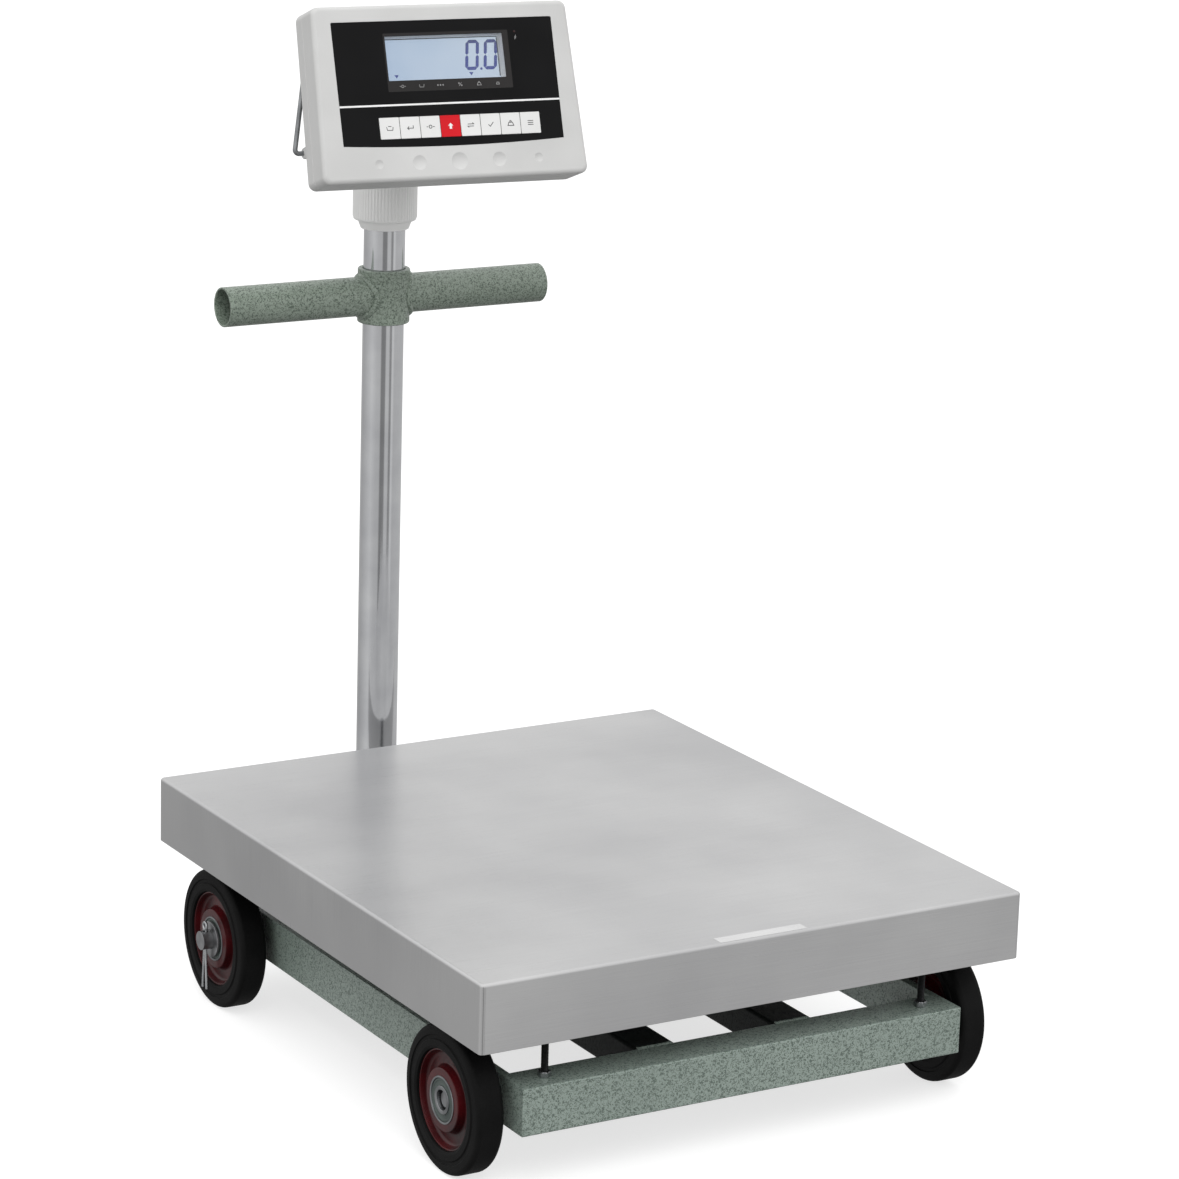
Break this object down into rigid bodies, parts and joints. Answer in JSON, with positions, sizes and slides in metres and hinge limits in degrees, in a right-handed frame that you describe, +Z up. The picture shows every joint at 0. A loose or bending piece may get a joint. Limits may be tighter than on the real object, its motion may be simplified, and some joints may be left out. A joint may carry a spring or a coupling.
{
  "type": "mobile platform scale",
  "caption": "Wheeled platform scale with a lift-off stainless deck on a welded base, a column with a T handle and a tilting, swivelling weight indicator with keys.",
  "frame": {"origin": "on the floor, at the centre of the footprint, which runs from the deck's front edge to the back of the lock collar", "axes": "+X to the right seen from the front, +Y towards the column at the back, +Z up; the front, where the operator reads the display, faces -Y"},
  "size_m": [0.52, 0.6905, 0.8825],
  "materials": {
    "hammered_paint": "hammered two-tone enamel",
    "bright_steel": "zinc plated",
    "axle_steel": "turned",
    "black_steel": "blackened",
    "cell_alloy": "machined",
    "chromed_tube": "polished",
    "stainless": "satin brushed",
    "tyre_rubber": "matt",
    "rim_paint": "gloss",
    "pad_rubber": "matt",
    "pale_plastic": "fine moulded texture",
    "overlay_film": "satin film",
    "window_clear": "clear",
    "lcd_glass": "backlit",
    "board_laminate": "solder mask",
    "battery_case": "moulded",
    "black_plastic": "moulded",
    "key_white": "satin film",
    "key_red": "satin film"
  },
  "bodies": {
    "base": {"front_beam": "hammered_paint", "rear_beam": "hammered_paint", "side_rail_left": "hammered_paint", "side_rail_right": "hammered_paint", "inner_bar_left": "hammered_paint", "inner_bar_right": "hammered_paint", "column_bracket": "hammered_paint", "frame_bolts": "bright_steel", "axle_front": "axle_steel", "axle_rear": "axle_steel", "axle_retainers": "bright_steel", "bearing_inners": "bright_steel", "overload_stops": "black_steel", "cell_plate_lower": "hammered_paint", "load_cell": "cell_alloy", "column_tube": "chromed_tube", "handle": "hammered_paint", "column_ferrule": "pale_plastic"},
    "wheel_front_left": {"tyre_front_left": "tyre_rubber", "rim_front_left": "rim_paint", "bearing_front_left": "bright_steel"},
    "wheel_front_right": {"tyre_front_right": "tyre_rubber", "rim_front_right": "rim_paint", "bearing_front_right": "bright_steel"},
    "wheel_rear_left": {"tyre_rear_left": "tyre_rubber", "rim_rear_left": "rim_paint", "bearing_rear_left": "bright_steel"},
    "wheel_rear_right": {"tyre_rear_right": "tyre_rubber", "rim_rear_right": "rim_paint", "bearing_rear_right": "bright_steel"},
    "load_frame": {"spider_rail_left": "hammered_paint", "spider_rail_right": "hammered_paint", "spider_cross": "hammered_paint", "cell_plate_upper": "hammered_paint", "deck_bolts": "bright_steel", "deck_pads": "pad_rubber"},
    "cover": {"deck_cover": "stainless"},
    "collar": {"lock_collar": "pale_plastic"},
    "swivel": {"swivel_head": "pale_plastic", "tilt_bolt": "bright_steel"},
    "indicator": {"front_shell": "pale_plastic", "rear_shell": "pale_plastic", "overlay": "overlay_film", "lcd_window": "window_clear", "lcd_panel": "lcd_glass", "circuit_board": "board_laminate", "battery": "battery_case", "case_screws": "bright_steel", "tilt_lug": "pale_plastic", "power_socket": "black_plastic"},
    "stand_wire": {"bail": "bright_steel"},
    "power_switch": {"power_rocker": "black_plastic"},
    "button_1": {"key_1": "key_white"},
    "button_2": {"key_2": "key_white"},
    "button_3": {"key_3": "key_white"},
    "button_4": {"key_4": "key_red"},
    "button_5": {"key_5": "key_white"},
    "button_6": {"key_6": "key_white"},
    "button_7": {"key_7": "key_white"},
    "button_8": {"key_8": "key_white"}
  },
  "joints": [
    {"name": "roll_front_left", "type": "hinge", "parent": "base", "child": "wheel_front_left", "pos_m": [-0.235, -0.26025, 0.0625], "axis": [1, 0, 0], "continuous": true},
    {"name": "roll_front_right", "type": "hinge", "parent": "base", "child": "wheel_front_right", "pos_m": [0.235, -0.26025, 0.0625], "axis": [1, 0, 0], "continuous": true},
    {"name": "roll_rear_left", "type": "hinge", "parent": "base", "child": "wheel_rear_left", "pos_m": [-0.235, 0.16975, 0.0625], "axis": [1, 0, 0], "continuous": true},
    {"name": "roll_rear_right", "type": "hinge", "parent": "base", "child": "wheel_rear_right", "pos_m": [0.235, 0.16975, 0.0625], "axis": [1, 0, 0], "continuous": true},
    {"name": "deck_press", "type": "slide", "parent": "base", "child": "load_frame", "axis": [0, 0, -1], "range_m": [0, 0.001], "stiffness_N_per_m": 400000, "springref_m": -0.0006, "deforming": ["load_cell"]},
    {"name": "cover_lift", "type": "slide", "parent": "load_frame", "child": "cover", "axis": [0, 0, 1], "range_m": [0, 0.08]},
    {"name": "collar_turn", "type": "hinge", "parent": "base", "child": "collar", "pos_m": [-0.008, 0.31575, 0.69], "axis": [0, 0, 1], "range_deg": [0, 180]},
    {"name": "head_swivel", "type": "hinge", "parent": "base", "child": "swivel", "pos_m": [-0.008, 0.31575, 0.73], "axis": [0, 0, 1], "range_deg": [-170, 170]},
    {"name": "head_tilt", "type": "hinge", "parent": "swivel", "child": "indicator", "pos_m": [-0.01398, 0.24455, 0.75016], "axis": [-0.9965, 0.0837, 0], "range_deg": [-18, 22]},
    {"name": "stand_swing", "type": "hinge", "parent": "indicator", "child": "stand_wire", "pos_m": [-0.01702, 0.20832, 0.75494], "axis": [-0.9965, 0.0837, 0], "range_deg": [0, 50]},
    {"name": "power_toggle", "type": "hinge", "parent": "indicator", "child": "power_switch", "pos_m": [0.05366, 0.21349, 0.75335], "axis": [0.9965, -0.0837, 0], "range_deg": [0, 12]},
    {"name": "press_key_1", "type": "slide", "parent": "indicator", "child": "button_1", "axis": [0.0794, 0.945, -0.3173], "range_m": [0, 0.0005], "stiffness_N_per_m": 900, "springref_m": -0.0005},
    {"name": "press_key_2", "type": "slide", "parent": "indicator", "child": "button_2", "axis": [0.0794, 0.945, -0.3173], "range_m": [0, 0.0005], "stiffness_N_per_m": 900, "springref_m": -0.0005},
    {"name": "press_key_3", "type": "slide", "parent": "indicator", "child": "button_3", "axis": [0.0794, 0.945, -0.3173], "range_m": [0, 0.0005], "stiffness_N_per_m": 900, "springref_m": -0.0005},
    {"name": "press_key_4", "type": "slide", "parent": "indicator", "child": "button_4", "axis": [0.0794, 0.945, -0.3173], "range_m": [0, 0.0005], "stiffness_N_per_m": 900, "springref_m": -0.0005},
    {"name": "press_key_5", "type": "slide", "parent": "indicator", "child": "button_5", "axis": [0.0794, 0.945, -0.3173], "range_m": [0, 0.0005], "stiffness_N_per_m": 900, "springref_m": -0.0005},
    {"name": "press_key_6", "type": "slide", "parent": "indicator", "child": "button_6", "axis": [0.0794, 0.945, -0.3173], "range_m": [0, 0.0005], "stiffness_N_per_m": 900, "springref_m": -0.0005},
    {"name": "press_key_7", "type": "slide", "parent": "indicator", "child": "button_7", "axis": [0.0794, 0.945, -0.3173], "range_m": [0, 0.0005], "stiffness_N_per_m": 900, "springref_m": -0.0005},
    {"name": "press_key_8", "type": "slide", "parent": "indicator", "child": "button_8", "axis": [0.0794, 0.945, -0.3173], "range_m": [0, 0.0005], "stiffness_N_per_m": 900, "springref_m": -0.0005}
  ]
}
